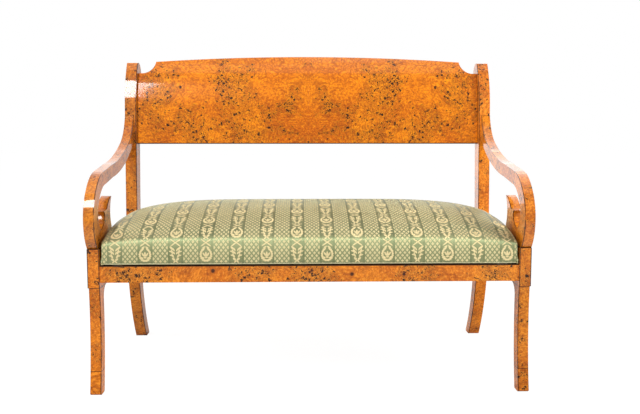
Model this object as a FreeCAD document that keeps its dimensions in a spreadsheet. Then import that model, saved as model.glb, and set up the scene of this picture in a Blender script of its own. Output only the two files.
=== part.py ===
"""Two-seat sofa with scrolled arms, sabre back legs, a rolled tablet back and a loose upholstered seat.

Lengths are in millimetres and angles in degrees. X runs to the right, Y to the back and Z up. Outlines are drawn
from the front face of the front legs, and every piece is then moved forward by half the depth, so that the origin
lies on the floor below the middle of the sofa.
"""

import FreeCAD, Part
import math
import os
import Sketcher

SIZES = {
    # Whole frame
    "half_width": 590,
    "rail_bottom": 300,
    "rail_top": 390,
    "joint_clearance": 0.2,
    "mortise_end_gap": 1,
    # Front legs
    "block_thickness": 32,
    "block_depth": 75,
    "block_bottom": 286,
    "leg_inset": 2.5,
    "leg_setback": 2,
    "leg_foot_kick": 14,
    "leg_foot_depth": 38,
    "leg_front_radius": 1015,
    "leg_rear_radius": 1200,
    "leg_neck_depth": 42,
    "leg_flare_height": 31,
    "leg_flare_radius": 32,
    "foot_chamfer": 4,
    # Rear posts
    "post_front": 488,
    "post_thickness": 36,
    "post_depth": 52,
    "post_roll_depth": 59.5,
    "rake_start": 400,
    "back_rake": 2.8,
    "roll_start": 780,
    "roll_radius": 257,
    "roll_front_turn": 36.2,
    "roll_rear_turn": 36,
    "post_tip_radius": 38.6,
    "rear_foot_kick": 114,
    "rear_foot_depth": 46,
    "rear_leg_front_radius": 578,
    "rear_leg_back_radius": 528,
    # Rails
    "front_rail_setback": 4,
    "front_rail_thickness": 29,
    "front_rail_top": 344,
    "side_rail_thickness": 32,
    "back_rail_thickness": 28,
    "tenon_thickness": 9,
    "tenon_length": 22,
    "back_tenon_length": 12,
    "tenon_shoulder": 8,
    "front_tenon_cheek": 9,
    "side_tenon_cheek": 9.5,
    # Scrolled arms
    "arm_thickness": 28,
    "arm_root_top": 360,
    "arm_root_height": 82,
    "arm_root_reach": 60,
    "arm_root_fall": 88,
    "arm_root_radius": 141,
    "arm_sweep_radius": 686,
    "arm_run_depth": 200,
    "arm_run_height": 215,
    "arm_run_thickness": 36,
    "arm_run_shift": 5,
    "arm_knee_depth": 100,
    "arm_knee_drop": 14,
    "arm_knee_radius": 150,
    "arm_knee_shift": 10,
    "arm_bulge": 27,
    "arm_bulge_radius": 106.5,
    "arm_bulge_height": 76,
    "arm_bulge_top": 153,
    "arm_band": 48,
    "under_sweep_radius": 629,
    "under_knee_radius": 101,
    "eye_top": 100,
    "eye_front_radius": 50,
    "eye_floor": 45,
    "eye_floor_depth": 31,
    "eye_width": 74,
    "eye_rear_height": 33,
    "eye_rear_radius": 53,
    "lip_overhang": 17,
    "lip_radius": 15,
    "ledge_height": 92,
    "ledge_depth": 42,
    "ledge_rise": 3,
    "beak_depth": 54,
    "beak_height": 35,
    "beak_front_radius": 93,
    "beak_rear_radius": 63,
    "scroll_foot_depth": 168,
    "scroll_waist": 43,
    # Back panel
    "panel_recess": 16,
    "panel_thickness": 22,
    "panel_bottom": 657,
    "panel_end_top": 886,
    "panel_corner_top": 925,
    "panel_corner_inset": 54,
    "panel_end_flat": 13,
    "panel_scotia_radius": 41,
    "panel_crown": 943,
    "panel_blank_turn": 52,
    "veneer_thickness": 1,
    "glue_gap": 0.3,
    # Dowels
    "dowel_diameter": 10,
    "dowel_half_length": 24,
    "dowel_clearance": 0.3,
    "foot_dowel_front": 36,
    "foot_dowel_rear": 130,
    "root_dowel_diameter": 8,
    "root_dowel_low": 290,
    "root_dowel_high": 312,
    "root_dowel_in_arm": 12,
    "root_dowel_in_post": 20,
    "panel_dowel_low": 700,
    "panel_dowel_high": 850,
    # Corner blocks, seat cleats and the brace under the seat
    "corner_block_leg": 50,
    "corner_block_height": 40,
    "corner_block_lift": 2,
    "cleat_width": 20,
    "cleat_height": 24,
    "cleat_top": 348,
    "cleat_end_gap": 2,
    "brace_width": 50,
    "brace_height": 22,
    # Loose seat
    "seat_side_gap": 5,
    "seat_front": 5,
    "seat_rear_gap": 3.5,
    "seat_rest_gap": 0.4,
    "seat_tuck": 3,
    "cover_thickness": 1.6,
    "cover_hem": 32,
    "padding_clearance": 0.4,
    "border_height": 54,
    "border_lift": 8,
    "border_radius": 150,
    "front_roll_depth": 12,
    "front_roll_radius": 22,
    "rear_roll_depth": 45,
    "rear_roll_radius": 60,
    "seat_crown_radius": 709,
    "front_edge_height": 62,
    "front_edge_lift": 18,
    "rear_edge_height": 58,
    "rear_edge_lift": 72,
    "rear_border_height": 56,
    "rear_border_lift": 48,
    "seat_member_width": 45,
    "seat_member_height": 40,
    "seat_tenon_length": 25,
    "seat_tenon_thickness": 12,
    "seat_tenon_shoulder": 8,
    "webbing_width": 60,
    "webbing_thickness": 1.6,
    "hessian_thickness": 1,
}
STRAP_COUNT_LENGTHWISE = 4
STRAP_COUNT_ACROSS = 8

# Stations of the seat's sections from its middle to one end, as shares of the half width. The crown falls off
# along a flattened curve, so the stations crowd together near the end.
SEAT_STATIONS = (0, 0.3, 0.5, 0.67, 0.8, 0.9, 0.96, 0.99, 1)
CROWN_POWER = 5
CROWN_SOFTNESS = 0.6

LEFT = -1
RIGHT = 1
SIDES = {"left": LEFT, "right": RIGHT}
COUNTERCLOCKWISE = 1
CLOCKWISE = -1


class Size:
    """A number together with the sheet expression that gives it."""

    def __init__(self, number, text):
        self.number = number
        self.text = text

    def __add__(self, other):
        other = as_size(other)
        return Size(self.number + other.number, f"({self.text} + {other.text})")

    def __sub__(self, other):
        other = as_size(other)
        return Size(self.number - other.number, f"({self.text} - {other.text})")

    def __mul__(self, other):
        other = as_size(other)
        return Size(self.number * other.number, f"({self.text} * {other.text})")

    def __truediv__(self, other):
        other = as_size(other)
        return Size(self.number / other.number, f"({self.text} / {other.text})")

    def __neg__(self):
        return Size(-self.number, f"(0 - {self.text})")


def as_size(value):
    if isinstance(value, Size):
        return value
    return Size(float(value), f"({float(value)!r})")


def sine(angle):
    return Size(math.sin(math.radians(angle.number)), f"sin({angle.text} * 1deg)")


def cosine(angle):
    return Size(math.cos(math.radians(angle.number)), f"cos({angle.text} * 1deg)")


def root(size):
    return Size(math.sqrt(size.number), f"sqrt({size.text})")


doc = FreeCAD.newDocument("Sofa")
sheet = doc.addObject("Spreadsheet::Sheet", "Sizes")
for row, (alias, number) in enumerate(SIZES.items(), start=1):
    sheet.set(f"A{row}", alias)
    sheet.set(f"B{row}", str(number))
    sheet.setAlias(f"B{row}", alias)
doc.recompute()

pieces = []


def size(alias):
    return Size(float(SIZES[alias]), f"Sizes.{alias}")


half_width = size("half_width")
rail_bottom = size("rail_bottom")
rail_top = size("rail_top")
clearance = size("joint_clearance")
post_front = size("post_front")
block_inner = half_width - size("block_thickness")
post_inner = half_width - size("post_thickness")
arm_inner = half_width - size("arm_thickness")
rail_inner = half_width - size("side_rail_thickness")
rear_foot_front = post_front + size("rear_foot_kick")
rear_foot_back = rear_foot_front + size("rear_foot_depth")
depth_middle = (rear_foot_back - size("arm_bulge")) / 2

# The posts and the panel roll back about one axis, which the straight raked stretch below meets at a tangent.
back_rake = size("back_rake")
roll_radius = size("roll_radius")
roll_axis_z = size("roll_start") - roll_radius * sine(back_rake)
rake_height = roll_axis_z - size("rake_start")
roll_axis_y = post_front + (roll_radius + rake_height * sine(back_rake)) / cosine(back_rake)


def rake_point(radius, height):
    """Point at a height on the raked line that is tangent to a circle about the roll axis."""
    reach = (radius + (roll_axis_z - height) * sine(back_rake)) / cosine(back_rake)
    return (roll_axis_y - reach, height)


def roll_point(radius, turn):
    """Point on a circle about the roll axis, turned up from the level line to its front."""
    return (roll_axis_y - radius * cosine(turn), roll_axis_z + radius * sine(turn))


def bind(thing, path, value):
    thing.setExpression(path, as_size(value).text)


def place(thing, x, y, z, rotation=FreeCAD.Rotation()):
    """Moves a piece to a point given from the front of the legs, with its place bound to the sheet."""
    spot = [as_size(x), as_size(y) - depth_middle, as_size(z)]
    thing.Placement = FreeCAD.Placement(FreeCAD.Vector(*(v.number for v in spot)), rotation)
    for axis, value in zip("xyz", spot):
        bind(thing, f".Placement.Base.{axis}", value)


def finish(thing, label):
    """Takes a finished object as the sub-part of that name."""
    thing.Label = label
    pieces.append(thing)
    return thing


def box(x, y, z):
    """Box between pairs of limits along each axis."""
    block = doc.addObject("Part::Box", "Block")
    for name, (low, high) in zip(("Length", "Width", "Height"), (x, y, z)):
        extent = as_size(high) - low
        setattr(block, name, extent.number)
        bind(block, name, extent)
    place(block, x[0], y[0], z[0])
    return block


def sided(side, inner, outer):
    """X limits, low first, of something between two distances from the middle on one side."""
    if side == LEFT:
        return (-as_size(outer), -as_size(inner))
    return (as_size(inner), as_size(outer))


ALONG_X = FreeCAD.Rotation(FreeCAD.Vector(0, 1, 0), 90)
ALONG_Y = FreeCAD.Rotation(FreeCAD.Vector(1, 0, 0), -90)
UPRIGHT = FreeCAD.Rotation()


def rod(diameter, length, x, y, z, direction):
    cylinder = doc.addObject("Part::Cylinder", "Rod")
    cylinder.Radius = diameter.number / 2
    bind(cylinder, "Radius", diameter / 2)
    cylinder.Height = length.number
    bind(cylinder, "Height", length)
    place(cylinder, x, y, z, direction)
    return cylinder


def join(solids):
    if len(solids) == 1:
        return solids[0]
    fused = doc.addObject("Part::MultiFuse", "Joined")
    fused.Shapes = solids
    return fused


def cut(base, tools):
    remainder = doc.addObject("Part::Cut", "Cut")
    remainder.Base = base
    remainder.Tool = join(tools)
    return remainder


def group(solids):
    compound = doc.addObject("Part::Compound", "Group")
    compound.Links = solids
    return compound


def arc_geometry(start, end, radius, turn):
    """Arc under a half circle between two points, bending to the left for a counterclockwise turn."""
    chord = end - start
    middle = (start + end) / 2
    leftward = FreeCAD.Vector(-chord.y, chord.x, 0).normalize()
    distance = math.sqrt(radius * radius - (chord.Length / 2) ** 2)
    center = middle + leftward * (distance * turn)
    circle = Part.Circle(center, FreeCAD.Vector(0, 0, 1), radius)
    ends = [start, end] if turn == COUNTERCLOCKWISE else [end, start]
    angles = [math.atan2(p.y - center.y, p.x - center.x) for p in ends]
    return Part.ArcOfCircle(circle, angles[0], angles[1])


def outline(body, plane, start, edges, station=0):
    """Closed sketch from a start point and edges: (point,) is a line, (point, radius, turn) an arc.

    Every corner is held by its two distances from the origin and every arc by its radius.
    """
    sketch = body.newObject("Sketcher::SketchObject", "Outline")
    support = next(f for f in body.Origin.OriginFeatures if f.Role == plane)
    sketch.AttachmentSupport = [(support, "")]
    sketch.MapMode = "FlatFace"
    station = as_size(station)
    sketch.AttachmentOffset = FreeCAD.Placement(FreeCAD.Vector(0, 0, station.number), UPRIGHT)
    bind(sketch, ".AttachmentOffset.Base.z", station)
    corners = [start] + [edge[0] for edge in edges]
    flat = [FreeCAD.Vector(as_size(u).number, as_size(v).number, 0) for u, v in corners]
    geometry = []
    constraints = []
    values = []
    ends = []
    for index, edge in enumerate(edges):
        if len(edge) == 1:
            geometry.append(Part.LineSegment(flat[index], flat[index + 1]))
            ends.append((1, 2))
            continue
        radius, turn = edge[1:]
        geometry.append(arc_geometry(flat[index], flat[index + 1], radius.number, turn))
        ends.append((1, 2) if turn == COUNTERCLOCKWISE else (2, 1))
        constraints.append(Sketcher.Constraint("Radius", index, radius.number))
        values.append(radius)
    for index, (first, last) in enumerate(ends):
        after = (index + 1) % len(ends)
        for kind, value in zip(("DistanceX", "DistanceY"), corners[index]):
            value = as_size(value)
            constraints.append(Sketcher.Constraint(kind, -1, 1, index, first, value.number))
            values.append(value)
        constraints.append(Sketcher.Constraint("Coincident", index, last, after, ends[after][0]))
        values.append(None)
    sketch.addGeometry(geometry)
    sketch.addConstraint(constraints)
    for index, value in enumerate(values):
        if value is not None:
            bind(sketch, f"Constraints[{index}]", value)
    return sketch


def pad(body, sketch, thickness, backward=False):
    layer = body.newObject("PartDesign::Pad", "Pad")
    layer.Profile = sketch
    layer.Length = thickness.number
    bind(layer, "Length", thickness)
    layer.Reversed = backward
    return layer


def plank(side, inner, profiles):
    """Upright board with its inner face at a distance from the middle, padded outward from side profiles."""
    body = doc.addObject("PartDesign::Body", "Plank")
    for start, edges, thickness in profiles:
        pad(body, outline(body, "YZ_Plane", start, edges), thickness, backward=side == LEFT)
    place(body, inner * side, 0, 0)
    return body


def tenon(x, y, z, grow=(0, 0, 0)):
    """Box for a tenon, or for its mortise when it grows along the axes named by a one."""
    limits = []
    for (low, high), share in zip((x, y, z), grow):
        limits.append((low - clearance * share, high + clearance * share))
    return box(*limits)


# Joint places that the two pieces of each joint share

tenon_z = (rail_bottom + size("tenon_shoulder"), rail_top - size("tenon_shoulder"))
front_tenon_z = (rail_bottom + size("tenon_shoulder"), size("front_rail_top") - size("tenon_shoulder"))
front_rail_front = size("front_rail_setback")
front_rail_back = front_rail_front + size("front_rail_thickness")
back_rail_back = post_front + size("back_rail_thickness")
front_tenon_y = (
    front_rail_front + size("front_tenon_cheek"),
    front_rail_front + size("front_tenon_cheek") + size("tenon_thickness"),
)
back_tenon_y = (
    post_front + size("front_tenon_cheek"),
    post_front + size("front_tenon_cheek") + size("tenon_thickness"),
)
side_tenon_outer = half_width - size("side_tenon_cheek")
side_tenon_inner = side_tenon_outer - size("tenon_thickness")
front_tenon_end = block_inner + size("tenon_length")
back_tenon_end = post_inner + size("back_tenon_length")
side_tenon_front = size("block_depth") - size("tenon_length")
side_tenon_back = post_front + size("tenon_length")
end_gap = size("mortise_end_gap")
arm_axis = half_width - size("arm_thickness") / 2
foot_dowel_depths = (size("foot_dowel_front"), size("foot_dowel_rear"))
root_dowel_heights = (rail_top + size("root_dowel_low"), rail_top + size("root_dowel_high"))
panel_middle_radius = roll_radius - size("panel_recess") - size("panel_thickness") / 2
panel_dowel_spots = (
    rake_point(panel_middle_radius, size("panel_dowel_low")),
    (
        roll_axis_y
        - root(
            panel_middle_radius * panel_middle_radius
            - (size("panel_dowel_high") - roll_axis_z) * (size("panel_dowel_high") - roll_axis_z)
        ),
        size("panel_dowel_high"),
    ),
)


def foot_dowel(side, depth, spare=0, end=0):
    """Upright dowel between an arm and what it stands on, or its hole when it has spare room."""
    half = size("dowel_half_length") + end
    diameter = size("dowel_diameter") + as_size(spare) * 2
    return rod(diameter, half * 2, arm_axis * side, depth, rail_top - half, UPRIGHT)


def root_dowel(side, height, spare=0, end=0):
    """Level dowel between the root of an arm and the post behind it, or its hole."""
    seat = rake_point(roll_radius, height)[0]
    front = seat - size("root_dowel_in_arm") - end
    length = size("root_dowel_in_arm") + size("root_dowel_in_post") + as_size(end) * 2
    diameter = size("root_dowel_diameter") + as_size(spare) * 2
    return rod(diameter, length, arm_axis * side, front, height, ALONG_Y)


def panel_dowel(side, spot, spare=0, end=0):
    """Dowel along X between the back panel and a post, or its hole."""
    half = (size("dowel_half_length") + end) * 0.5
    diameter = size("dowel_diameter") + as_size(spare) * 2
    return rod(diameter, half * 2, post_inner * side - half, spot[0], spot[1], ALONG_X)


def dowel_holes(maker, side, spots):
    return [maker(side, spot, size("dowel_clearance"), end_gap) for spot in spots]


# Front legs: a square block between the rails, and below it a slim sabre leg set in from the block's outer face


def front_leg(name, side):
    foot_front = -size("leg_foot_kick")
    foot_back = foot_front + size("leg_foot_depth")
    chamfer = size("foot_chamfer")
    bottom = size("block_bottom")
    neck = size("leg_neck_depth")
    depth = size("block_depth")
    block = (
        (0, bottom),
        [((depth, bottom),), ((depth, rail_top),), ((0, rail_top),), ((0, bottom),)],
        size("block_thickness"),
    )
    leg = (
        (size("leg_setback"), bottom),
        [
            ((foot_front, chamfer), size("leg_front_radius"), CLOCKWISE),
            ((foot_front + chamfer, 0),),
            ((foot_back - chamfer, 0),),
            ((foot_back, chamfer),),
            ((neck, bottom - size("leg_flare_height")), size("leg_rear_radius"), COUNTERCLOCKWISE),
            ((depth, bottom), size("leg_flare_radius"), CLOCKWISE),
            ((size("leg_setback"), bottom),),
        ],
        size("block_thickness") - size("leg_inset"),
    )
    mortises = [
        tenon(sided(side, block_inner, front_tenon_end + end_gap), front_tenon_y, front_tenon_z, (0, 1, 1)),
        tenon(
            sided(side, side_tenon_inner, side_tenon_outer),
            (side_tenon_front - end_gap, depth),
            tenon_z,
            (1, 0, 1),
        ),
        foot_dowel(side, foot_dowel_depths[0], size("dowel_clearance"), end_gap),
    ]
    finish(cut(plank(side, block_inner, [block, leg]), mortises), f"{name}_front_leg")


# Rear posts: sabre leg, upright at the seat, raked above it and rolled back at the top


def rear_post(name, side):
    rear_radius = roll_radius - size("post_roll_depth")
    chamfer = size("foot_chamfer")
    rake_start = size("rake_start")
    back = post_front + size("post_depth")
    profile = (
        (rear_foot_front, chamfer),
        [
            ((post_front, rail_bottom), size("rear_leg_front_radius"), CLOCKWISE),
            ((post_front, rake_start),),
            (roll_point(roll_radius, back_rake),),
            (roll_point(roll_radius, size("roll_front_turn")), roll_radius, CLOCKWISE),
            (roll_point(rear_radius, size("roll_rear_turn")), size("post_tip_radius"), CLOCKWISE),
            (roll_point(rear_radius, back_rake), rear_radius, COUNTERCLOCKWISE),
            ((back, rake_start),),
            ((back, rail_bottom),),
            ((rear_foot_back, chamfer), size("rear_leg_back_radius"), COUNTERCLOCKWISE),
            ((rear_foot_back - chamfer, 0),),
            ((rear_foot_front + chamfer, 0),),
            ((rear_foot_front, chamfer),),
        ],
        size("post_thickness"),
    )
    mortises = [
        tenon(sided(side, post_inner, back_tenon_end + end_gap), back_tenon_y, tenon_z, (0, 1, 1)),
        tenon(
            sided(side, side_tenon_inner, side_tenon_outer),
            (post_front, side_tenon_back + end_gap),
            tenon_z,
            (1, 0, 1),
        ),
    ]
    holes = dowel_holes(root_dowel, side, root_dowel_heights) + dowel_holes(panel_dowel, side, panel_dowel_spots)
    finish(cut(plank(side, post_inner, [profile]), mortises + holes), f"{name}_rear_post")


# Scrolled arms: each is one board that leaves the post in a concave sweep, runs level, turns down over the knee into
# a bulging front and curls up behind it into a hooked volute with an open eye, a ledge and a pointed beak


def arm(name, side):
    bulge_center = size("arm_bulge_radius") - size("arm_bulge")
    bulge_square = size("arm_bulge_radius") * size("arm_bulge_radius")
    low = size("arm_bulge_height")
    high = size("arm_bulge_top") - low
    foot_front = bulge_center - root(bulge_square - low * low)
    knee_front = bulge_center - root(bulge_square - high * high)
    root_top = rail_top + size("arm_root_top")
    run_top = rail_top + size("arm_run_height")
    run_depth = size("arm_run_depth")
    knee_depth = size("arm_knee_depth")
    knee_top = run_top - size("arm_knee_drop")
    thickness = size("arm_run_thickness")
    eye_front = size("arm_band") - size("arm_bulge")
    eye_back = eye_front + size("eye_width")
    eye_floor = rail_top + size("eye_floor")
    lip = eye_back - size("lip_overhang")
    ledge = rail_top + size("ledge_height")
    ledge_back = lip + size("ledge_depth")
    scroll_back = size("scroll_foot_depth")
    profile = (
        rake_point(roll_radius, root_top),
        [
            (
                (post_front - size("arm_root_reach"), root_top - size("arm_root_fall")),
                size("arm_root_radius"),
                CLOCKWISE,
            ),
            ((run_depth, run_top), size("arm_sweep_radius"), CLOCKWISE),
            ((knee_depth, knee_top),),
            ((knee_front, rail_top + size("arm_bulge_top")), size("arm_knee_radius"), COUNTERCLOCKWISE),
            ((foot_front, rail_top), size("arm_bulge_radius"), COUNTERCLOCKWISE),
            ((scroll_back, rail_top),),
            ((scroll_back, rail_top + size("scroll_waist")),),
            (
                (ledge_back + size("beak_depth"), ledge + size("beak_height")),
                size("beak_rear_radius"),
                CLOCKWISE,
            ),
            ((ledge_back, ledge + size("ledge_rise")), size("beak_front_radius"), COUNTERCLOCKWISE),
            ((lip, ledge),),
            ((eye_back, eye_floor + size("eye_rear_height")), size("lip_radius"), CLOCKWISE),
            ((eye_front + size("eye_floor_depth"), eye_floor), size("eye_rear_radius"), CLOCKWISE),
            ((eye_front, rail_top + size("eye_top")), size("eye_front_radius"), CLOCKWISE),
            (
                (knee_depth + size("arm_knee_shift"), knee_top - thickness),
                size("under_knee_radius"),
                CLOCKWISE,
            ),
            ((run_depth + size("arm_run_shift"), run_top - thickness),),
            (
                rake_point(roll_radius, root_top - size("arm_root_height")),
                size("under_sweep_radius"),
                COUNTERCLOCKWISE,
            ),
            (rake_point(roll_radius, root_top),),
        ],
        size("arm_thickness"),
    )
    holes = dowel_holes(foot_dowel, side, foot_dowel_depths) + dowel_holes(root_dowel, side, root_dowel_heights)
    finish(cut(plank(side, arm_inner, [profile]), holes), f"{name}_arm")


# Rails, tenoned into the legs and posts


def side_rail(name, side):
    depth = size("block_depth")
    rail = [
        box(sided(side, rail_inner, half_width), (depth, post_front), (rail_bottom, rail_top)),
        tenon(sided(side, side_tenon_inner, side_tenon_outer), (side_tenon_front, side_tenon_back), tenon_z),
    ]
    hole = foot_dowel(side, foot_dowel_depths[1], size("dowel_clearance"), end_gap)
    finish(cut(join(rail), [hole]), f"{name}_side_rail")


brace_half = size("brace_width") / 2
brace_top = rail_bottom + size("brace_height")
brace_tenon_z = (rail_bottom + size("brace_height") / 4, brace_top - size("brace_height") / 4)
brace_tenon_x = (-brace_half + size("tenon_shoulder"), brace_half - size("tenon_shoulder"))
brace_tenon_y = (front_rail_back - size("back_tenon_length"), post_front + size("back_tenon_length"))


def front_rail():
    rail = [
        box((-block_inner, block_inner), (front_rail_front, front_rail_back), (rail_bottom, size("front_rail_top"))),
        tenon((-front_tenon_end, front_tenon_end), front_tenon_y, front_tenon_z),
    ]
    mortise = tenon(brace_tenon_x, (brace_tenon_y[0] - end_gap, front_rail_back), brace_tenon_z, (1, 0, 1))
    finish(cut(join(rail), [mortise]), "front_rail")


def back_rail():
    rail = [
        box((-post_inner, post_inner), (post_front, back_rail_back), (rail_bottom, rail_top)),
        tenon((-back_tenon_end, back_tenon_end), back_tenon_y, tenon_z),
    ]
    mortise = tenon(brace_tenon_x, (post_front, brace_tenon_y[1] + end_gap), brace_tenon_z, (1, 0, 1))
    finish(cut(join(rail), [mortise]), "back_rail")


def center_brace():
    brace = [
        box((-brace_half, brace_half), (front_rail_back, post_front), (rail_bottom, brace_top)),
        tenon(brace_tenon_x, brace_tenon_y, brace_tenon_z),
    ]
    finish(join(brace), "center_brace")


# Corner blocks glued into the corners of the rails, and cleats that carry the loose seat between them


def corner_block(name, side, corner_y, direction):
    leg = size("corner_block_leg")
    bottom = rail_bottom + size("corner_block_lift")
    inner = rail_inner * side
    body = doc.addObject("PartDesign::Body", "CornerBlock")
    corner = (inner, corner_y)
    edges = [((inner - leg * side, corner_y),), ((inner, corner_y + leg * direction),), (corner,)]
    pad(body, outline(body, "XY_Plane", corner, edges, bottom), size("corner_block_height"))
    place(body, 0, 0, 0)
    finish(body, name)


def cleats():
    width = size("cleat_width")
    z = (size("cleat_top") - size("cleat_height"), size("cleat_top"))
    room = size("corner_block_leg") + size("cleat_end_gap")
    along_y = (front_rail_back + room, post_front - room)
    along_x = (room - rail_inner, rail_inner - room)
    for name, side in SIDES.items():
        finish(box(sided(side, rail_inner - width, rail_inner), along_y, z), f"{name}_cleat")
    finish(box(along_x, (front_rail_back, front_rail_back + width), z), "front_cleat")
    finish(box(along_x, (post_front - width, post_front), z), "back_cleat")


# Back panel: a rolled core between the posts, faced with two veneer leaves that meet in the middle


def panel_outline():
    """Upright block with the panel's front outline: level ends, scotia corners and a gently arched top."""
    end = size("panel_end_top")
    shoulder = post_inner - size("panel_end_flat")
    corner = (post_inner - size("panel_corner_inset"), size("panel_corner_top"))
    rise = size("panel_crown") - size("panel_corner_top")
    arch_radius = (corner[0] * corner[0] + rise * rise) / (rise * 2)
    bottom = size("panel_bottom")
    scotia = size("panel_scotia_radius")
    edges = [
        ((post_inner, bottom),),
        ((post_inner, end),),
        ((shoulder, end),),
        (corner, scotia, CLOCKWISE),
        ((-corner[0], corner[1]), arch_radius, COUNTERCLOCKWISE),
        ((-shoulder, end), scotia, CLOCKWISE),
        ((-post_inner, end),),
        ((-post_inner, bottom),),
    ]
    body = doc.addObject("PartDesign::Body", "PanelOutline")
    pad(body, outline(body, "XZ_Plane", (-post_inner, bottom), edges), rear_foot_back, backward=True)
    place(body, 0, 0, 0)
    return body


def panel_layer(left, right, front_radius, back_radius, front_outline, label):
    """Layer of the panel between two radii about the roll axis, trimmed to the front outline."""
    bottom = size("panel_bottom")
    turn = size("panel_blank_turn")
    edges = [
        (roll_point(front_radius, back_rake),),
        (roll_point(front_radius, turn), front_radius, CLOCKWISE),
        (roll_point(back_radius, turn),),
        (roll_point(back_radius, back_rake), back_radius, COUNTERCLOCKWISE),
        (rake_point(back_radius, bottom),),
        (rake_point(front_radius, bottom),),
    ]
    body = doc.addObject("PartDesign::Body", "PanelBlank")
    sketch = outline(body, "YZ_Plane", rake_point(front_radius, bottom), edges)
    pad(body, sketch, as_size(right) - left)
    place(body, left, 0, 0)
    trimmed = doc.addObject("Part::Common", "Trimmed")
    trimmed.Base = body
    trimmed.Tool = front_outline
    if label is None:
        return trimmed
    return finish(trimmed, label)


def back_panel():
    face_radius = roll_radius - size("panel_recess")
    leaf_back = face_radius - size("veneer_thickness")
    core_front = leaf_back - size("glue_gap")
    core_back = face_radius - size("panel_thickness")
    front_outline = panel_outline()
    core = panel_layer(-post_inner, post_inner, core_front, core_back, front_outline, None)
    holes = [hole for side in SIDES.values() for hole in dowel_holes(panel_dowel, side, panel_dowel_spots)]
    finish(cut(core, holes), "back_panel")
    panel_layer(-post_inner, as_size(0), face_radius, leaf_back, front_outline, "left_veneer_leaf")
    panel_layer(as_size(0), post_inner, face_radius, leaf_back, front_outline, "right_veneer_leaf")


def dowels():
    for maker, spots, label in (
        (foot_dowel, foot_dowel_depths, "arm_foot_dowels"),
        (root_dowel, root_dowel_heights, "arm_root_dowels"),
        (panel_dowel, panel_dowel_spots, "panel_dowels"),
    ):
        finish(group([maker(side, spot) for side in SIDES.values() for spot in spots]), label)


# Loose seat: a tenoned frame with webbing, hessian, crowned stuffing and a fitted cover

cover = size("cover_thickness")
padding_clearance = size("padding_clearance")
seat_half = block_inner - size("seat_side_gap")
seat_rear = post_front - size("seat_rear_gap")
seat_bottom = size("cleat_top") + size("seat_rest_gap")
frame_bottom = seat_bottom + cover + padding_clearance
frame_top = frame_bottom + size("seat_member_height")
frame_half = seat_half - cover - padding_clearance
frame_front = size("seat_front") + size("seat_tuck") + cover + padding_clearance
frame_back = seat_rear - cover - padding_clearance
member = size("seat_member_width")
webbing_thickness = size("webbing_thickness")
hessian_bottom = frame_top + webbing_thickness * 2
stuffing_bottom = hessian_bottom + size("hessian_thickness")


def seat_section(body, share, inset, bottom):
    """Front-to-back section of the seat at a share of its half width: tucked border, rolled edges and crown."""
    fullness = (1 - abs(share) ** CROWN_POWER) ** CROWN_SOFTNESS
    front = size("seat_front") + inset
    rear = seat_rear - inset

    def height(name):
        lift = size(f"{name}_lift") * fullness
        return seat_bottom + size(f"{name}_height") + lift - inset

    front_edge = front + size("front_roll_depth")
    rear_edge = rear - size("rear_roll_depth")
    edges = [
        ((front, height("border")), size("border_radius"), CLOCKWISE),
        ((front_edge, height("front_edge")), size("front_roll_radius"), CLOCKWISE),
        ((rear_edge, height("rear_edge")), size("seat_crown_radius"), CLOCKWISE),
        ((rear, height("rear_border")), size("rear_roll_radius"), CLOCKWISE),
        ((rear, bottom),),
        ((front + size("seat_tuck"), bottom),),
    ]
    station = (seat_half - inset) * share
    return outline(body, "YZ_Plane", (front + size("seat_tuck"), bottom), edges, station)


def seat_form(inset, bottom):
    """Crowned solid of the seat, drawn in by an inset from the outside of the cover."""
    body = doc.addObject("PartDesign::Body", "SeatForm")
    shares = [-share for share in reversed(SEAT_STATIONS[1:])] + list(SEAT_STATIONS)
    sketches = [seat_section(body, share, as_size(inset), bottom) for share in shares]
    loft = body.newObject("PartDesign::AdditiveLoft", "Crown")
    loft.Profile = sketches[0]
    loft.Sections = sketches[1:]
    loft.Ruled = True
    place(body, 0, 0, 0)
    return body


def seat_cover():
    hem = size("cover_hem")
    opening = box(
        (hem - seat_half, seat_half - hem),
        (size("seat_front") + hem, seat_rear - hem),
        (seat_bottom - cover, frame_bottom),
    )
    hollow = seat_form(cover, seat_bottom + cover)
    finish(cut(seat_form(0, seat_bottom), [hollow, opening]), "seat_cover")


def seat_stuffing():
    finish(seat_form(cover + padding_clearance, stuffing_bottom), "seat_stuffing")


def seat_frame():
    z = (frame_bottom, frame_top)
    inner_front = frame_front + member
    inner_back = frame_back - member
    inner_half = frame_half - member
    shoulder = size("seat_tenon_shoulder")
    length = size("seat_tenon_length")
    middle_z = (frame_bottom + frame_top) / 2
    tongue_z = (middle_z - size("seat_tenon_thickness") / 2, middle_z + size("seat_tenon_thickness") / 2)
    tongue_y = (inner_front - length, inner_back + length)
    across = {
        "seat_frame_left": (-frame_half, -inner_half),
        "seat_frame_right": (inner_half, frame_half),
        "seat_frame_brace": (-member / 2, member / 2),
    }
    tongues_x = {name: (low + shoulder, high - shoulder) for name, (low, high) in across.items()}
    for name, limits in across.items():
        solids = [box(limits, (inner_front, inner_back), z), tenon(tongues_x[name], tongue_y, tongue_z)]
        finish(join(solids), name)
    for name, y, mortise_y in (
        ("seat_frame_front", (frame_front, inner_front), (tongue_y[0] - end_gap, inner_front)),
        ("seat_frame_back", (inner_back, frame_back), (inner_back, tongue_y[1] + end_gap)),
    ):
        mortises = [tenon(x, mortise_y, tongue_z, (1, 0, 1)) for x in tongues_x.values()]
        finish(cut(box((-frame_half, frame_half), y, z), mortises), name)


def strap_limits(count, low, high):
    """Evenly spaced straps of the webbing's width between two limits."""
    pitch = (high - low) / count
    half = size("webbing_width") / 2
    centers = [low + pitch * (index + 0.5) for index in range(count)]
    return [(center - half, center + half) for center in centers]


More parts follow.
